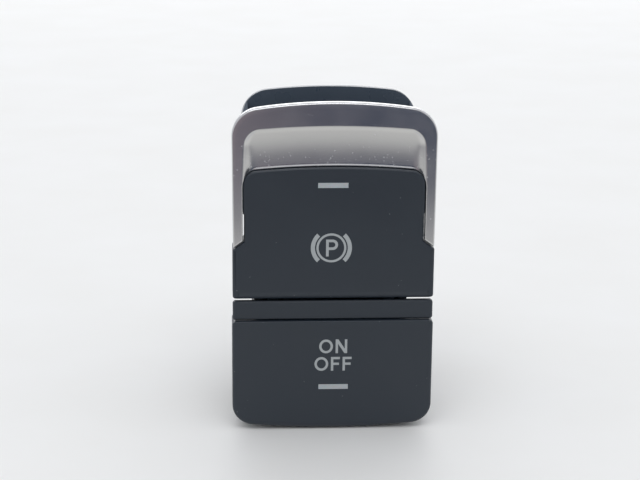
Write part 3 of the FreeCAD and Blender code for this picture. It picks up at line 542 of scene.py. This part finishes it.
def stations(half_low, half_high, foot, lean_from, split, high, radius, corner):
    """Right half of one outline of the trim, whose side leans from the first half width to the second."""
    side, bend, top = arch(half_low, half_high, lean_from, high, radius, corner, LINE_COUNTS)
    start = next(i for i, p in enumerate(side) if p[1] >= split - 1e-6)
    arm = resample([(half_low, foot), side[start]], ARM_STATIONS)
    upper = resample(chain(side[start:], bend), BEND_STATIONS)
    return chain(arm, upper, resample(top, TOP_STATIONS))


def trim_lines():
    """Height of the arms' upper end, then the outlines of the pocket, the dish's rim and the outer edge."""
    side, bend, top = arch(ARM_INSIDE, ARM_INSIDE, SHOULDER_Z, POCKET_HIGH, POCKET_ARC, POCKET_CORNER,
                           LINE_COUNTS)
    split = side[-1][1]
    pocket = chain(resample(side, ARM_STATIONS), resample(bend, BEND_STATIONS), resample(top, TOP_STATIONS))
    rim = stations(ARM_INSIDE + ARM_EDGE, DISH_HALF, SHOULDER_Z, split, split,
                   DISH_TOP, DISH_ARC, DISH_CORNER)
    foot = SHOULDER_Z - RIM_TAIL
    outer = stations(TRIM_HALF - RIM_LEAN, TRIM_HALF, foot, foot, split,
                     TRIM_HIGH, RIM_ARC, RIM_CORNER)
    return split, pocket, rim, outer


def inward(points, k):
    """Unit normal of an outline at one of its points, towards the inside."""
    a, b = points[max(k - 1, 0)], points[min(k + 1, len(points) - 1)]
    dx, dz = b[0] - a[0], b[1] - a[1]
    size = math.hypot(dx, dz)
    if k == len(points) - 1:
        return 0.0, -1.0
    return -dz / size, dx / size


def distance_to(points, x, z):
    """Shortest distance from a place to a line of points."""
    best = math.inf
    for (ax, az), (bx, bz) in zip(points, points[1:]):
        dx, dz = bx - ax, bz - az
        along = max(0.0, min(1.0, ((x - ax) * dx + (z - az) * dz) / (dx * dx + dz * dz)))
        best = min(best, math.hypot(x - ax - along * dx, z - az - along * dz))
    return best


def rim_rows(edge, normal, rim_point, back):
    """Section points (x, depth, z) from the back of the outer side over the rounded edge to the flat rim."""
    (ox, oz), (nx, nz), (rx, rz) = edge, normal, rim_point
    rows = [(ox, back, oz), (ox, (back + RIM_FRONT + RIM_EDGE) / 2, oz)]
    for i in range(8):
        turn = math.pi / 2 * i / 7
        step = RIM_EDGE * (1 - math.cos(turn))
        rows.append((ox + nx * step, RIM_FRONT + RIM_EDGE * (1 - math.sin(turn)), oz + nz * step))
    ex, ez = ox + nx * RIM_EDGE, oz + nz * RIM_EDGE
    for share in (0.3, 0.6, 0.85, 0.97):
        rows.append((ex + (rx - ex) * share, RIM_FRONT, ez + (rz - ez) * share))
    return rows


def dish_rows(k, rim, pocket):
    """Section points from the rim through the dish to the pocket. On the arms they stay flat."""
    (rx, rz), (px, pz) = rim[k], pocket[k]
    width = math.hypot(px - rx, pz - rz)
    rows = []
    for i in range(33):
        share = 0.5 - 0.5 * math.cos(math.pi * i / 32)
        x, z = rx + (px - rx) * share, rz + (pz - rz) * share
        left = width - width * share
        depth = 0.0
        if k >= ARM_STATIONS - 1:
            arch_fall = DISH_ARC - math.sqrt(DISH_ARC ** 2 - x ** 2)
            depth = dish_depth(DISH_TOP - arch_fall - z, distance_to(rim, x, z))
        depth -= bead(left, k)
        depth += edge_fall(left, ARM_EDGE if k < ARM_STATIONS else TOP_EDGE)
        rows.append((x, RIM_FRONT + depth, z))
    return rows


def arm_rows(rows, k, split):
    """An arm's section, shifted so that the arm ends on the slope of the shoulder with a small round."""
    along = (k / (ARM_STATIONS - 1)) ** 2
    shaped = []
    for x, depth, z in rows:
        foot = SHOULDER_Z + (SHOULDER_X - x) * SHOULDER_RISE
        z = foot + (split - foot) * along
        shaped.append((x, max(depth, RIM_FRONT + edge_fall(z - foot, ARM_END_EDGE)), z))
    return shaped


def trim_section(k, lines):
    """Closed loop of (x, depth, z) around the trim at one station."""
    split, pocket, rim, outer = lines
    (ox, oz), (nx, nz), (px, pz) = outer[k], inward(outer, k), pocket[k]
    back = ARM_BACK if oz < ARM_HIGH else FLANGE_BACK
    step_x, step_z = ox + nx * FLANGE_STEP, oz + nz * FLANGE_STEP
    rows = rim_rows((ox, oz), (nx, nz), rim[k], back) + dish_rows(k, rim, pocket)
    rows += [(px, TRIM_BACK, pz), (step_x, TRIM_BACK, step_z), (step_x, back + FLANGE_SHOULDER, step_z)]
    if k < ARM_STATIONS:
        rows = arm_rows(rows, k, split)
    return [(x, depth + bulge(depth, z), z) for x, depth, z in rows]


def lever_trim_shell():
    """One skin around the whole trim: two arms, the arched rim, the finger dish and the step behind."""
    lines = trim_lines()
    right = [trim_section(k, lines) for k in range(len(lines[-1]))]
    left = [[(-x, depth, z) for x, depth, z in rows] for rows in right[-2::-1]]
    bm = bmesh.new()
    rings = loft(bm, [[spot(*p) for p in rows] for rows in right + left])
    bm.faces.new(rings[0])
    bm.faces.new(rings[-1])
    obj = piece("lever_trim_shell", bm, "lever", "satin_plated_chrome", 40.0)
    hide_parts("lever_trim")


lever_trim_shell()

# Faces: hollow caps, flat in front, with the opening of a light bar (width and height)
CAP_SKIN = 1.3
EDGE_REST = 0.12
BAR_WINDOW = (5.5, 0.95)

# Lever's face: edge radii at its foot, sides and top, then its corners, its arch and the step above its slits
LEVER_EDGES = (1.5, 0.4, 0.3)
FOOT_CORNER = 0.85
SHOULDER_CORNER = 0.3
LEVER_ARC = 157.0
LEVER_CORNER = 2.7
SLIT_STEP = 0.22
SLIT_SLOPE = 0.15

# Button's face, the same. It reaches slightly above its box, which narrows the gap under the lever.
HOLD_EDGES = (0.7, 0.55, 0.2)
HOLD_ARC = 168.0
HOLD_CORNER = 4.0
HOLD_TOP_CORNER = 0.8
HOLD_REACH = 0.1


def bent(corners, count=9):
    """Polyline through (x, z, radius) corners, each inner corner turned with its radius."""
    points = [corners[0][:2]]
    for before, (x, z, radius), after in zip(corners, corners[1:], corners[2:]):
        ax, az = before[0] - x, before[1] - z
        bx, bz = after[0] - x, after[1] - z
        la, lb = math.hypot(ax, az), math.hypot(bx, bz)
        half = math.acos(max(-1.0, min(1.0, (ax * bx + az * bz) / la / lb))) / 2
        reach = min(radius / math.tan(half), la * 0.45, lb * 0.45)
        p0 = (x + ax / la * reach, z + az / la * reach)
        p2 = (x + bx / lb * reach, z + bz / lb * reach)
        round_part = reach * math.tan(half)
        mx, mz = ax / la + bx / lb, az / la + bz / lb
        size = math.hypot(mx, mz)
        cx = x + mx / size * round_part / math.sin(half)
        cz = z + mz / size * round_part / math.sin(half)
        start = math.atan2(p0[1] - cz, p0[0] - cx)
        turn = (math.atan2(p2[1] - cz, p2[0] - cx) - start + math.pi) % (2 * math.pi) - math.pi
        points += [(cx + round_part * math.cos(start + turn * i / (count - 1)),
                    cz + round_part * math.sin(start + turn * i / (count - 1))) for i in range(count)]
    points.append(corners[-1][:2])
    return points


def both_halves(right):
    """Closed outline from its right half, which runs from the middle of the foot to the middle of the top."""
    return right + [(-x, z) for x, z in right[-2:0:-1]]


def lever_outline():
    foot = bent([(0, LEVER_LOW, 0), (SHOULDER_X, LEVER_LOW, FOOT_CORNER),
                 (SHOULDER_X, SHOULDER_LOW, SHOULDER_CORNER), (SLIT_X, SHOULDER_HIGH, SHOULDER_CORNER),
                 (SLIT_X, SLIT_HIGH, 0)])
    half = SLIT_X + SLIT_STEP
    side, bend, top = arch(half, half, SLIT_HIGH + SLIT_SLOPE, LEVER_HIGH, LEVER_ARC, LEVER_CORNER,
                           (3, 16, 24))
    return both_halves(foot + chain(side, bend, top))


def hold_outline():
    low, high, half = HOLD_BOX[0][2], HOLD_BOX[1][2] + HOLD_REACH, HOLD_BOX[1][0]
    side, bend, bottom = arch(half, half, -high + HOLD_TOP_CORNER, -low, HOLD_ARC, HOLD_CORNER, (3, 20, 24))
    foot = [(x, -z) for x, z in chain(side, bend, bottom)][::-1]
    return both_halves(foot + bent([foot[-2], (half, high, HOLD_TOP_CORNER), (0, high, 0)])[1:])


def offset(outline, steps):
    """The outline moved inwards by its own step at each point."""
    made = []
    for i, (x, z) in enumerate(outline):
        (ax, az), (bx, bz) = outline[i - 1], outline[(i + 1) % len(outline)]
        size = math.hypot(bx - ax, bz - az)
        made.append((x - (bz - az) / size * steps[i], z + (bx - ax) / size * steps[i]))
    return made


def edge_radii(outline, edges):
    """Edge radius at each point of an outline, from how far its outer side looks down or up."""
    low, beside, high = edges
    radii = []
    for i in range(len(outline)):
        (ax, az), (bx, bz) = outline[i - 1], outline[(i + 1) % len(outline)]
        up = -(bx - ax) / math.hypot(bx - ax, bz - az)
        end = high if up > 0 else low
        radii.append(beside + (end - beside) * up * up)
    return radii


def level(points, depth):
    """An outline at one depth, in metres."""
    return [spot(x, depth, z) for x, z in points]


def cap_rings(outline, depth, edges):
    """Rings of a hollow cap, from the roof of its hollow round its foot and up to its flat face."""
    radii = edge_radii(outline, edges)
    inside = offset(outline, [CAP_SKIN] * len(outline))
    rings = [level(inside, CAP_SKIN), level(inside, depth), level(outline, depth)]
    for i in range(7):
        turn = math.pi / 2 * i / 6
        points = offset(outline, [q * (1 - math.cos(turn)) for q in radii])
        rings.append([spot(x, q * (1 - math.sin(turn)), z) for (x, z), q in zip(points, radii)])
    rings.append(level(offset(outline, [q + EDGE_REST for q in radii]), 0.0))
    return rings


def bar_opening(node):
    """Corners of the opening in a face for this light bar."""
    low, high = node_box(node)
    x, z = (low[0] + high[0]) / 2, (low[2] + high[2]) / 2
    half, rise = BAR_WINDOW[0] / 2, BAR_WINDOW[1] / 2
    return [(x - half, z - rise), (x + half, z - rise), (x + half, z + rise), (x - half, z + rise)]


def flat_between(bm, ring, opening):
    """Flat face between a ring and the opening inside it."""
    loops = [[Vector((v.co.x, v.co.z, 0)) for v in loop] for loop in (ring, opening)]
    verts = ring + opening
    for triple in tessellate_polygon(loops):
        bm.faces.new([verts[i] for i in triple])


def cap_shell(name, node, body, outline, edges, bar):
    """Hollow cap with a flat face, rounded edges and the opening of its light bar."""
    low, high = node_box(node)
    bm = bmesh.new()
    rings = loft(bm, cap_rings(outline, high[1] - low[1], edges))
    opening = bar_opening(bar)
    back, front = loft(bm, [level(opening, CAP_SKIN), level(opening, 0.0)])
    flat_between(bm, rings[0], back)
    flat_between(bm, rings[-1], front)
    obj = piece(name, bm, body, "moulded_abs_black", 40.0)
    even = obj.modifiers.new("face_shading", "WEIGHTED_NORMAL")
    even.keep_sharp = True
    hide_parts(node)


cap_shell("lever_face", "lever_cap", "lever", lever_outline(), LEVER_EDGES, "park_bar_window")
cap_shell("button_face", "hold_cap", "lower_button", hold_outline(), HOLD_EDGES, "hold_bar_window")


def soften_edges(node, width):
    """Small round along the sharp edges of one solid."""
    bevel = NODES[node].modifiers.new("edge_round", "BEVEL")
    bevel.width = width * MM
    bevel.segments = 3
    bevel.limit_method = "ANGLE"
    bevel.angle_limit = math.radians(40)
    NODES[node].modifiers.move(len(NODES[node].modifiers) - 1, 0)


soften_edges("finger_scoop", 0.25)
soften_edges("centre_bar", 0.08)


# Key domes: silicone walls under their plungers
DOME_TOP_RADIUS = 1.7
DOME_SKIRT = 0.3
DOME_WALL = 0.45
DOME_BUTTON = 0.4
DOME_NECK = 0.1
DOME_ROUND = 0.12


def dome_profile(foot, height):
    """Rings of (radius, rise) from the hollow's roof round the foot and up to the flat button."""
    roof = height - DOME_BUTTON - DOME_WALL
    shape = [(DOME_TOP_RADIUS - 2 * DOME_WALL, roof), (foot - DOME_WALL, 0.0), (foot, 0.0),
             (foot, DOME_SKIRT), (DOME_TOP_RADIUS + DOME_NECK, height - DOME_BUTTON - DOME_NECK)]
    return shape + arc(DOME_TOP_RADIUS - DOME_ROUND, height - DOME_ROUND, DOME_ROUND, 0, 90, 5)


def key_dome(node):
    """Turned dome on the mat, under its plunger."""
    low, high = node_box(node)
    middle_x, middle_z = (low[0] + high[0]) / 2, (low[2] + high[2]) / 2
    rings = []
    for radius, rise in dome_profile((high[0] - low[0]) / 2, high[1] - low[1]):
        turn = ellipse(2 * radius, 2 * radius, 32)
        rings.append([Vector((middle_x + x, high[1] - rise, middle_z + z)) * MM for x, z in turn])
    bm = bmesh.new()
    made = loft(bm, rings)
    bm.faces.new(made[0])
    bm.faces.new(made[-1])
    obj = piece(node + "_wall", bm, "base", "keypad_silicone")
    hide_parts(node)
    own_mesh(obj)


def key_domes():
    for side in ("left", "right"):
        key_dome("apply_dome_" + side)
        key_dome("release_dome_" + side)
        key_dome("hold_dome_" + side)


# Legends: thin raised letters and signs on the faces
LEGEND_RISE = 0.03
CAP_HEIGHT = 2.7
STROKE = 0.45
LETTER_GAP = 0.5
LINE_MIDDLE = 0.08
LINE_FEET = (15.12, 11.68)
SIGN_PLACE = (-0.47, 35.5)


def moved(loops, x, z):
    return [[(px + x, pz + z) for px, pz in loop] for loop in loops]


def ellipse(width, height, count=48):
    turns = [2 * math.pi * i / count for i in range(count)]
    return [(width / 2 * math.cos(t), height / 2 * math.sin(t)) for t in turns]


def letter_o(height, stroke):
    width = height * 0.95
    shape = [ellipse(width, height), ellipse(width - 2 * stroke, height - 2 * stroke)]
    return moved(shape, width / 2, height / 2), width


def letter_n(height, stroke):
    width = height * 0.8
    slant = stroke * 1.15
    return [[(0, 0), (0, height), (slant, height), (width - stroke, stroke * 1.9),
             (width - stroke, height), (width, height), (width, 0), (width - slant, 0),
             (stroke, height - stroke * 1.9), (stroke, 0)]], width


def letter_f(height, stroke):
    width = height * 0.62
    low, high = height * 0.5 - stroke / 2, height * 0.5 + stroke / 2
    return [[(0, 0), (0, height), (width, height), (width, height - stroke), (stroke, height - stroke),
             (stroke, high), (width * 0.9, high), (width * 0.9, low), (stroke, low), (stroke, 0)]], width


def letter_p(height, stroke, width):
    radius = height * 0.31
    bowl = width - radius
    outer = [(0, 0), (stroke, 0), (stroke, height - 2 * radius)]
    outer += arc(bowl, height - radius, radius, -90, 90, 20) + [(0, height)]
    inner = [(stroke, height - 2 * radius + stroke)]
    inner += arc(bowl, height - radius, radius - stroke, -90, 90, 20) + [(stroke, height - stroke)]
    return [outer, inner]


def line_of(letters, foot):
    """Loops of one line of letters standing on this height, centred on the button."""
    made = [letter(CAP_HEIGHT, STROKE) for letter in letters]
    x = LINE_MIDDLE - (sum(width for _, width in made) + LETTER_GAP * (len(made) - 1)) / 2
    loops = []
    for shape, width in made:
        loops += moved(shape, x, foot)
        x += width + LETTER_GAP
    return loops


def flat_sign(name, loops, body):
    """Thin flat piece from outlines with holes, lying on the face plane."""
    curve = bpy.data.curves.new(name, "CURVE")
    curve.dimensions = "2D"
    curve.fill_mode = "BOTH"
    curve.extrude = LEGEND_RISE
    for loop in loops:
        spline = curve.splines.new("POLY")
        spline.points.add(len(loop) - 1)
        for point, (x, z) in zip(spline.points, loop):
            point.co = (x, z, 0, 1)
        spline.use_cyclic_u = True
    source = bpy.data.objects.new(name + "_outline", curve)
    bpy.context.scene.collection.objects.link(source)
    bpy.context.view_layer.update()
    filled = source.evaluated_get(bpy.context.evaluated_depsgraph_get())
    mesh = bpy.data.meshes.new_from_object(filled)
    bm = bmesh.new()
    bm.from_mesh(mesh)
    bpy.data.objects.remove(source)
    bpy.data.meshes.remove(mesh)
    bmesh.ops.remove_doubles(bm, verts=bm.verts, dist=1e-4)
    on_face = Matrix.Translation((0, FACE_Y * MM, 0))
    bm.transform(on_face @ Matrix.Rotation(math.pi / 2, 4, "X") @ Matrix.Scale(MM, 4))
    piece(name, bm, body, "etched_legend", 20.0)


def parking_sign():
    # The usual parking brake sign, 7.5 mm wide: a P in a ring between two brake shoes.
    loops = [ellipse(5.5, 5.5, 64), ellipse(4.68, 4.68, 64)]
    for side in (0, 180):
        loops.append(arc(0, 0, 3.77, side - 46, side + 46, 24) + arc(0, 0, 3.0, side + 46, side - 46, 24))
    loops += moved(letter_p(3.2, 0.5, 2.2), -0.98, -1.62)
    flat_sign("parking_sign", moved(loops, *SIGN_PLACE), "lever")


def button_legend():
    upper, lower = LINE_FEET
    loops = line_of((letter_o, letter_n), upper) + line_of((letter_o, letter_f, letter_f), lower)
    flat_sign("button_legend", loops, "lower_button")


key_domes()
parking_sign()
button_legend()


# Floor, light and camera


def pale_floor():
    mesh = bpy.data.meshes.new("pale_floor")
    bm = bmesh.new()
    bmesh.ops.create_circle(bm, cap_ends=True, segments=96, radius=4.0)
    bm.to_mesh(mesh)
    bm.free()
    obj = bpy.data.objects.new("pale_floor", mesh)
    bpy.context.scene.collection.objects.link(obj)
    mat, tree, shader, place = surface("pale_table", IOR=1.45, Roughness=0.55)
    clouds = add(tree, "ShaderNodeTexNoise", {"Vector": place, "Scale": per_mm(30.0), "Detail": 6.0})
    paint(tree, shader, clouds.outputs["Fac"], colour("#ECEBE8"), colour("#F2F2F1"))
    mesh.materials.append(mat)


def painted_reflection_shade():
    # Painted reflection: a sheet whose colour darkens away from the part, browner on the left and bluer on
    # the right, stands in for the shaded room mirrored in the metal.
    mat, tree, shader, place = surface("painted_reflection_shade", Roughness=0.9)
    parts = add(tree, "ShaderNodeSeparateXYZ", {"Vector": place})
    across = add(tree, "ShaderNodeMapRange", {"Value": parts.outputs["X"], "From Min": -14 * MM,
                                              "From Max": 24 * MM})
    near = add(tree, "ShaderNodeMapRange", {"Value": parts.outputs["Y"], "From Min": -72 * MM,
                                            "From Max": -195 * MM})
    far = add(tree, "ShaderNodeMapRange", {"Value": parts.outputs["Y"], "From Min": -195 * MM,
                                           "From Max": -460 * MM})
    high = add(tree, "ShaderNodeMapRange", {"Value": parts.outputs["Z"], "From Min": 110 * MM,
                                            "From Max": 340 * MM})
    # Painted reflection of shade: pale near the part, then darker and tinted further away, and pale again
    # high up.
    pale = add(tree, "ShaderNodeMix", {0: near.outputs["Result"], MIX_FIRST: colour("#FCFAF2"),
                                       MIX_SECOND: colour("#8C8B8F")}, data_type="RGBA")
    tint = add(tree, "ShaderNodeMix", {0: across.outputs["Result"], MIX_FIRST: colour("#93868C"),
                                       MIX_SECOND: colour("#3F4A5F")}, data_type="RGBA")
    low_reflected_shade = add(tree, "ShaderNodeMix", {0: far.outputs["Result"], MIX_FIRST: pale.outputs[MIX_RESULT],
                                           MIX_SECOND: tint.outputs[MIX_RESULT]}, data_type="RGBA")
    paint(tree, shader, high.outputs["Result"], low_reflected_shade.outputs[MIX_RESULT], colour("#EEEDEA"))
    return mat


def reflection_shade_sheet():
    """Sheet on the table towards the camera and hung behind it, seen in reflections only: it paints the
    shaded room's reflection into the metal.
    """
    mesh = bpy.data.meshes.new("reflection_shade_sheet")
    bm = bmesh.new()
    near, far, half, top = -62.0, -620.0, 600.0, 330.0
    row = [(near, 1.0), (far, 1.0), (far, top)]
    loft(bm, [[Vector((x, y, z)) * MM for y, z in row] for x in (-half, half)], closed=False)
    bm.to_mesh(mesh)
    bm.free()
    mesh.materials.append(painted_reflection_shade())
    obj = bpy.data.objects.new("reflection_shade_sheet", mesh)
    bpy.context.scene.collection.objects.link(obj)
    # Seen only in reflections, where its colours act as painted shade in the metal.
    obj.visible_camera = False
    obj.visible_diffuse = False
    obj.visible_shadow = False


def soft_light(name, place, aim, width, height, power):
    data = bpy.data.lights.new(name, "AREA")
    data.shape = "RECTANGLE"
    data.size, data.size_y = width, height
    data.energy = power
    obj = bpy.data.objects.new(name, data)
    bpy.context.scene.collection.objects.link(obj)
    obj.location = place
    obj.rotation_euler = (Vector(aim) - Vector(place)).to_track_quat("-Z", "Y").to_euler()


def light_the_scene():
    world = bpy.data.worlds.new("soft_room")
    world.use_nodes = True
    back = world.node_tree.nodes["Background"]
    back.inputs["Color"].default_value = (0.94, 0.96, 1.0, 1.0)
    back.inputs["Strength"].default_value = 0.77
    bpy.context.scene.world = world
    soft_light("window_softbox", (0.10, 1.25, 0.50), (0, 0.10, 0.03), 1.6, 0.6, 5.0)
    soft_light("front_softbox", (-0.05, -0.42, 0.62), (0, 0, 0.04), 0.5, 0.3, 1.0)


def place_camera():
    # Camera of the photograph, fitted against the face plane. Its lens is in pixels of the photo's width.
    eye, target = spot(-20.85, -298.02, 121.07), spot(-2.568, 0.0, 37.008)
    roll, lens_pixels, photo_pixels = math.radians(0.558), 1700.5, 640
    forward = (target - eye).normalized()
    right = forward.cross(Vector((0, 0, 1))).normalized()
    up = right.cross(forward)
    turned_right = right * math.cos(roll) + up * math.sin(roll)
    turned_up = up * math.cos(roll) - right * math.sin(roll)
    data = bpy.data.cameras.new("photo_camera")
    data.sensor_width = 36.0
    data.sensor_fit = "HORIZONTAL"
    data.lens = data.sensor_width * lens_pixels / photo_pixels
    data.clip_start, data.clip_end = 0.01, 20.0
    camera = bpy.data.objects.new("photo_camera", data)
    bpy.context.scene.collection.objects.link(camera)
    turn = Matrix((turned_right, turned_up, -forward)).transposed().to_4x4()
    camera.matrix_world = Matrix.Translation(eye) @ turn
    bpy.context.scene.camera = camera


pale_floor()
reflection_shade_sheet()
light_the_scene()
place_camera()
bpy.context.scene.view_settings.view_transform = "Standard"
